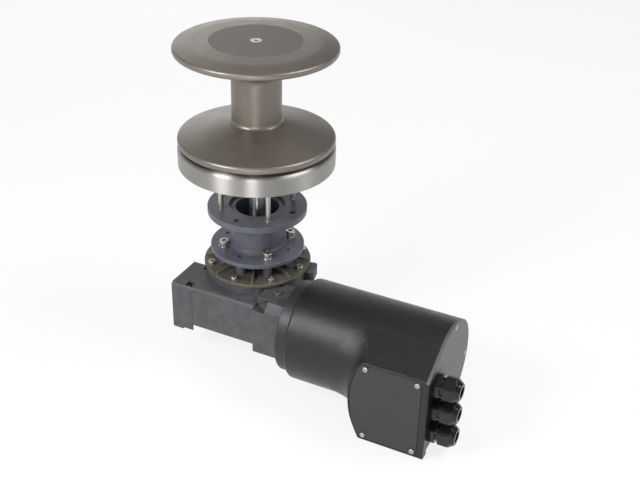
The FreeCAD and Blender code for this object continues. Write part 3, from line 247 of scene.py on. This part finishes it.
def drum_alloy():
    """Warm grey satin metal with faint turning marks and soft, cloudy wear."""
    colour = (0.215, 0.195, 0.168)
    mark_depth = 0.00002
    grain_depth = 0.000015
    material = plain("drum_alloy", colour, metallic=0.8, roughness=0.42)
    marks = turned_noise(material, 2600, upright_axis, drum_centre)
    tint(material, noise(material, scale=14, detail=4), colour, dark=0.93, light=1.05)
    vary_roughness(material, noise(material, scale=40, detail=4), low=0.38, high=0.45)
    grain = noise(material, scale=2200, detail=2)
    dress_normal(material, edge=0.0006, bumps=[(marks, mark_depth), (grain, grain_depth)])
    stretch_highlights(material, amount=0.25)
    return material


def drum_cap_alloy():
    """The cap's darker, finely blasted plate."""
    colour = (0.185, 0.171, 0.148)
    grain_depth = 0.00006
    material = plain("drum_cap_alloy", colour, metallic=0.85, roughness=0.55)
    grain = noise(material, scale=1500, detail=3)
    tint(material, grain, colour, dark=0.86, light=1.12)
    dress_normal(material, edge=0.0004, bumps=[(grain, grain_depth)])
    return material


def base_alloy():
    """Pale turned metal of the deck base."""
    mark_depth = 0.000012
    material = plain("base_alloy", (0.385, 0.373, 0.356), metallic=1.0, roughness=0.42)
    marks = turned_noise(material, 3200, upright_axis, drum_centre)
    vary_roughness(material, noise(material, scale=30, detail=4), low=0.37, high=0.43)
    dress_normal(material, edge=0.0008, bumps=[(marks, mark_depth)])
    stretch_highlights(material, amount=0.95)
    return material


def fastener_steel():
    """Plain satin steel of the screws, nuts, washers and studs."""
    material = plain("fastener_steel", (0.5, 0.485, 0.46), metallic=1.0, roughness=0.34)
    vary_roughness(material, noise(material, scale=120, detail=2), low=0.3, high=0.4)
    dress_normal(material, edge=0.0005)
    return material


def fastener_black():
    """Dull black steel; on the steel fasteners in the deep pockets it is painted shade."""
    material = plain("fastener_black", (0.05, 0.05, 0.053), metallic=0.4, roughness=0.5)
    dress_normal(material, edge=0.0004)
    return material


def shaft_steel():
    """Ground and polished steel."""
    mark_depth = 0.000006
    material = plain("shaft_steel", (0.66, 0.66, 0.68), metallic=1.0, roughness=0.3)
    marks = turned_noise(material, 3000, upright_axis, drum_centre)
    dress_normal(material, edge=0.0003, bumps=[(marks, mark_depth)])
    stretch_highlights(material, amount=0.9)
    return material


def spacer_paint():
    """Blue grey paint with a slight peel, and a painted highlight along its edges."""
    colour = (0.088, 0.091, 0.114)
    peel_depth = 0.00005
    material = plain("spacer_paint", colour, metallic=0.1, roughness=0.44)
    tint(material, noise(material, scale=60, detail=5), colour, dark=0.88, light=1.1)
    peel = noise(material, scale=700, detail=2)
    dress_normal(material, edge=0.0007, bumps=[(peel, peel_depth)])
    # Painted highlight: the paint's edges are made 1.5 times lighter, as if light catches them.
    paint_edge_highlights(material, shade(colour, 1.5), width=0.0008)
    return material


def cast(name, colour, roughness, grain_scale, grain_depth, edge_highlight_factor):
    """A dull sand-cast skin, mottled and pitted, with a painted highlight along its edges."""
    material = plain(name, colour, metallic=0.25, roughness=roughness)
    tint(material, noise(material, scale=90, detail=6, breakup=0.7), colour, dark=0.78, light=1.18)
    patches = noise(material, scale=45, detail=4)
    vary_roughness(material, patches, low=roughness - 0.08, high=roughness + 0.1)
    grain = noise(material, grain_scale, detail=5, breakup=0.65)
    dress_normal(material, edge=0.0011, bumps=[(grain, grain_depth)])
    # Painted highlight: edges are made lighter by the given factor, as if light catches them.
    paint_edge_highlights(material, shade(colour, edge_highlight_factor), width=0.001)
    return material


def gear_cover_cast():
    colour = (0.098, 0.092, 0.072)
    # The last factor lightens the edges as a painted highlight.
    return cast("gear_cover_cast", colour, roughness=0.45, grain_scale=420, grain_depth=0.00022, edge_highlight_factor=2.2)


def housing_cast():
    colour = (0.077, 0.077, 0.084)
    # The last factor lightens the edges as a painted highlight.
    return cast("housing_cast", colour, roughness=0.55, grain_scale=380, grain_depth=0.0003, edge_highlight_factor=1.5)


def flange_black():
    """Black paint with a fine grain."""
    grain_depth = 0.00008
    material = plain("flange_black", (0.016, 0.016, 0.017), metallic=0.0, roughness=0.45)
    grain = noise(material, scale=900, detail=3)
    dress_normal(material, edge=0.0008, bumps=[(grain, grain_depth)])
    return material


def cover_black():
    """Black powder coat with a leathery grain."""
    colour = (0.0075, 0.0071, 0.0066)
    grain_depth = 0.00045
    material = plain("cover_black", colour, metallic=0.0, roughness=0.42)
    grain = noise(material, scale=460, detail=5, breakup=0.75)
    tint(material, grain, colour, dark=0.6, light=1.4)
    vary_roughness(material, noise(material, scale=60, detail=4), low=0.31, high=0.37)
    dress_normal(material, edge=0.0012, bumps=[(grain, grain_depth)])
    return material


def lid_paint():
    """Dark grey satin lid."""
    colour = (0.027, 0.0275, 0.0275)
    grain_depth = 0.00008
    material = plain("lid_paint", colour, metallic=0.0, roughness=0.55)
    grain = noise(material, scale=1100, detail=3)
    tint(material, grain, colour, dark=0.9, light=1.1)
    dress_normal(material, edge=0.0009, bumps=[(grain, grain_depth)])
    return material


def end_plate_alloy():
    """Turned plate at the motor's far end."""
    mark_depth = 0.00002
    material = plain("end_plate_alloy", (0.15, 0.15, 0.146), metallic=0.7, roughness=0.5)
    marks = turned_noise(material, 2400, motor_axis, motor_centre)
    dress_normal(material, edge=0.0004, bumps=[(marks, mark_depth)])
    return material


def gland_plastic():
    """Glossy black moulded plastic."""
    ripple_depth = 0.00003
    material = plain("gland_plastic", (0.006, 0.006, 0.007), metallic=0.0, roughness=0.1)
    vary_roughness(material, noise(material, scale=200, detail=3), low=0.08, high=0.16)
    ripple = noise(material, scale=300, detail=2)
    dress_normal(material, edge=0.0014, bumps=[(ripple, ripple_depth)])
    return material


def dress_nodes():
    """Give every CAD node the finish of its slot, and the steel fasteners in the deep pockets a dull
    black one as painted shade.
    """
    makers = (
        drum_alloy, drum_cap_alloy, base_alloy, fastener_steel, fastener_black, shaft_steel,
        spacer_paint, gear_cover_cast, housing_cast, flange_black, cover_black, lid_paint,
        end_plate_alloy, gland_plastic,
    )
    finishes = {maker.__name__: maker() for maker in makers}
    finishes.update({name: plain(name, *values) for name, values in plain_finishes.items()})
    for subpart in frame["record"]["subparts"]:
        node = frame["nodes"][subpart["node"]]
        # The steel fasteners in the deep pockets get black as painted shade of the pockets.
        slot = "fastener_black" if subpart["node"] in pocket_shade_fasteners else subpart["material_slot"]
        node.data.materials.clear()
        node.data.materials.append(finishes[slot])


def make_camera():
    """The camera that was fitted to the photograph."""
    azimuth = math.radians(camera_azimuth_deg)
    tilt = math.radians(camera_tilt_deg)
    roll = math.radians(camera_roll_deg)
    level = math.cos(tilt)
    back = Vector((math.sin(azimuth) * level, -math.cos(azimuth) * level, math.sin(tilt)))
    right = Vector((0, 0, 1)).cross(back).normalized()
    up = back.cross(right)
    turn = Matrix.Rotation(roll, 3, back)
    axes = Matrix((turn @ right, turn @ up, back)).transposed().to_4x4()
    data = bpy.data.cameras.new("camera")
    data.sensor_width = sensor_mm
    data.lens = focal_px * sensor_mm / photo_width_px
    camera = bpy.data.objects.new("camera", data)
    camera.matrix_world = Matrix.Translation(camera_place) @ axes
    bpy.context.collection.objects.link(camera)
    bpy.context.scene.camera = camera


def floor_material():
    """Matt and pale, with a glow for rays from the camera and from shiny or clear surfaces."""
    material = plain("floor", floor_colour, metallic=0.0, roughness=floor_roughness)
    links = material.node_tree.links
    path = add(material, "LightPath")
    seen = path.outputs["Is Camera Ray"]
    for kind in ("Is Glossy Ray", "Is Transmission Ray"):
        either = add_operation(material, "Math", "MAXIMUM")
        links.new(seen, either.inputs[0])
        join(material, path, kind, either, 1)
        seen = either.outputs["Value"]
    share = add_operation(material, "Math", "MULTIPLY")
    share.inputs[1].default_value = floor_glow
    links.new(seen, share.inputs[0])
    mix = add(material, "MixShader")
    join(material, share, "Value", mix, "Fac")
    join(material, main_shader(material), "BSDF", mix, 1)
    join(material, add(material, "Emission"), "Emission", mix, 2)
    join(material, mix, "Shader", material.node_tree.nodes["Material Output"], "Surface")
    return material


def make_floor():
    """A pale floor with low pale walls far away, which close it at the horizon."""
    low = cad_box[0][2] - floor_gap
    signs = ((-1, -1), (1, -1), (1, 1), (-1, 1))
    heights = (low, low + wall_height)
    corners = [(x * floor_half, y * floor_half, z) for z in heights for x, y in signs]
    walls = [(side, (side + 1) % 4, (side + 1) % 4 + 4, side + 4) for side in range(4)]
    mesh = bpy.data.meshes.new("floor")
    mesh.from_pydata(corners, [], [(0, 1, 2, 3), *walls])
    floor = bpy.data.objects.new("floor", mesh)
    mesh.materials.append(floor_material())
    bpy.context.collection.objects.link(floor)


def soft_lamp(name, place, width, watts):
    """A round lamp that points at the middle of the part."""
    data = bpy.data.lights.new(name, "AREA")
    data.shape = "DISK"
    data.size = width
    data.energy = watts
    lamp = bpy.data.objects.new(name, data)
    lamp.location = place
    lamp.rotation_euler = (Vector(lamp_aim) - Vector(place)).to_track_quat("-Z", "Y").to_euler()
    bpy.context.collection.objects.link(lamp)


def make_room():
    """A white room that is brighter on one side."""
    world = bpy.data.worlds.new("studio")
    bpy.context.scene.world = world
    world.use_nodes = True
    tree = world.node_tree
    room = tree.nodes["Background"]
    place = tree.nodes.new("ShaderNodeTexCoord")
    facing = tree.nodes.new("ShaderNodeVectorMath")
    facing.operation = "DOT_PRODUCT"
    facing.inputs[1].default_value = room_bright_side
    level = tree.nodes.new("ShaderNodeMapRange")
    level.interpolation_type = "SMOOTHSTEP"
    set_range(level, room_dark_cosine, room_bright_cosine, room_dark, room_bright)
    room.inputs["Color"].default_value = (1, 1, 1, 1)
    tree.links.new(place.outputs["Generated"], facing.inputs[0])
    tree.links.new(facing.outputs["Value"], level.inputs["Value"])
    tree.links.new(level.outputs["Result"], room.inputs["Strength"])


dress_nodes()
make_camera()
make_floor()
bpy.context.scene.view_settings.view_transform = "Standard"
make_room()
for lamp_values in lamps:
    soft_lamp(*lamp_values)
